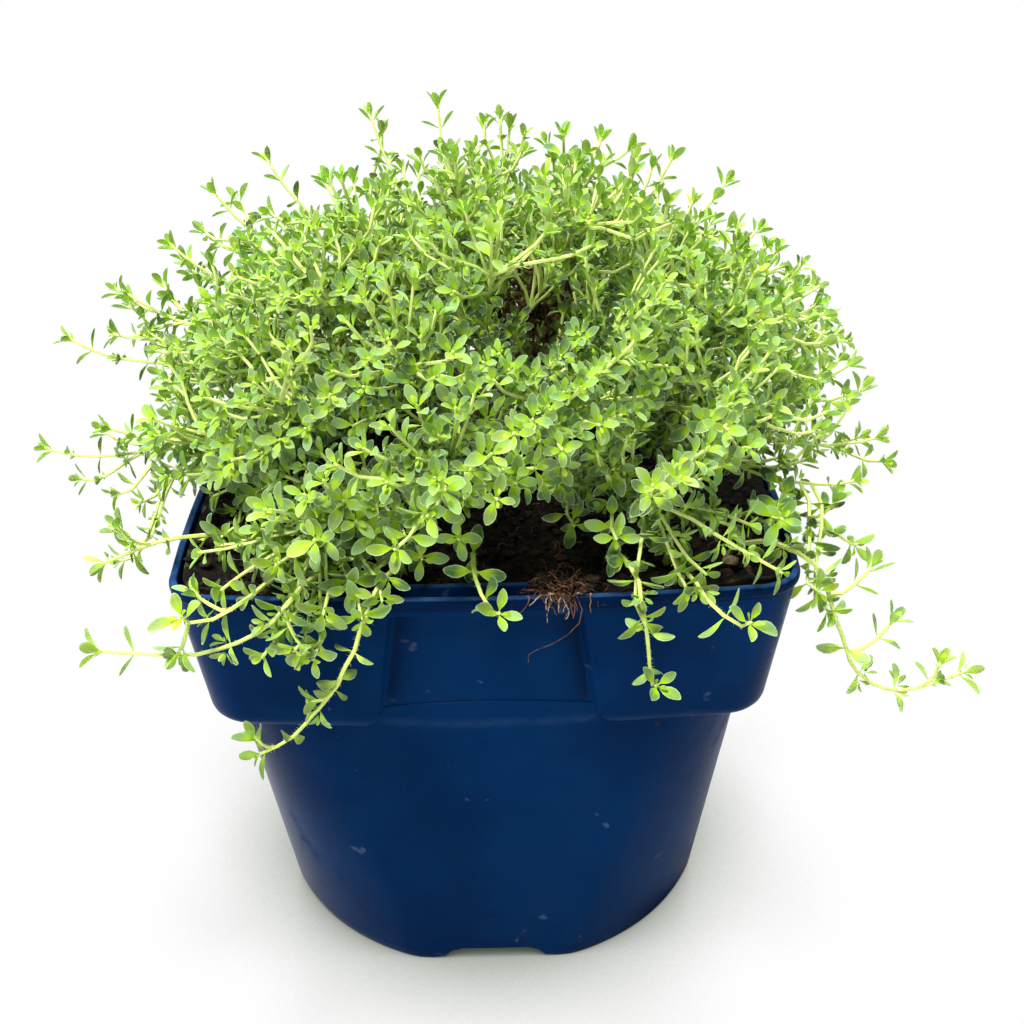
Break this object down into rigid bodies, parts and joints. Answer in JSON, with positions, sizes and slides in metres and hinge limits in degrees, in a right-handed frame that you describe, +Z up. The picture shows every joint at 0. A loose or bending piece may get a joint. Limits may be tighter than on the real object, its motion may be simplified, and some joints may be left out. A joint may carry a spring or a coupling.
{
  "type": "potted thyme",
  "caption": "Creeping thyme in a square plastic nursery pot: a low dome of small-leaved shoots, with runners that trail over the rim.",
  "frame": {"origin": "middle of the pot's underside, on the plane the pot stands on", "axes": "+Z up, -Y towards the side with most of the runners, +X to that side's right"},
  "size_m": [0.1747, 0.1466, 0.1568],
  "materials": {
    "pot_plastic": "moulded navy plastic, low sheen",
    "soil": "dark peat with fibres, matt",
    "old_stem": "brown bark, matt",
    "bush_foliage": "living leaf, soft sheen",
    "runner_foliage": "young living leaf, soft sheen"
  },
  "bodies": {
    "root": {"pot": "pot_plastic", "soil": "soil", "woody_crown": "old_stem", "thyme_bush": "bush_foliage", "runner_left_long": "runner_foliage", "runner_left_drop": "runner_foliage", "runner_left_corner": "runner_foliage", "runner_left_rim": "runner_foliage", "runner_middle": "runner_foliage", "runner_right_drop": "runner_foliage", "runner_right_front": "runner_foliage", "runner_right_long": "runner_foliage", "runner_right_rim": "runner_foliage"}
  },
  "joints": []
}
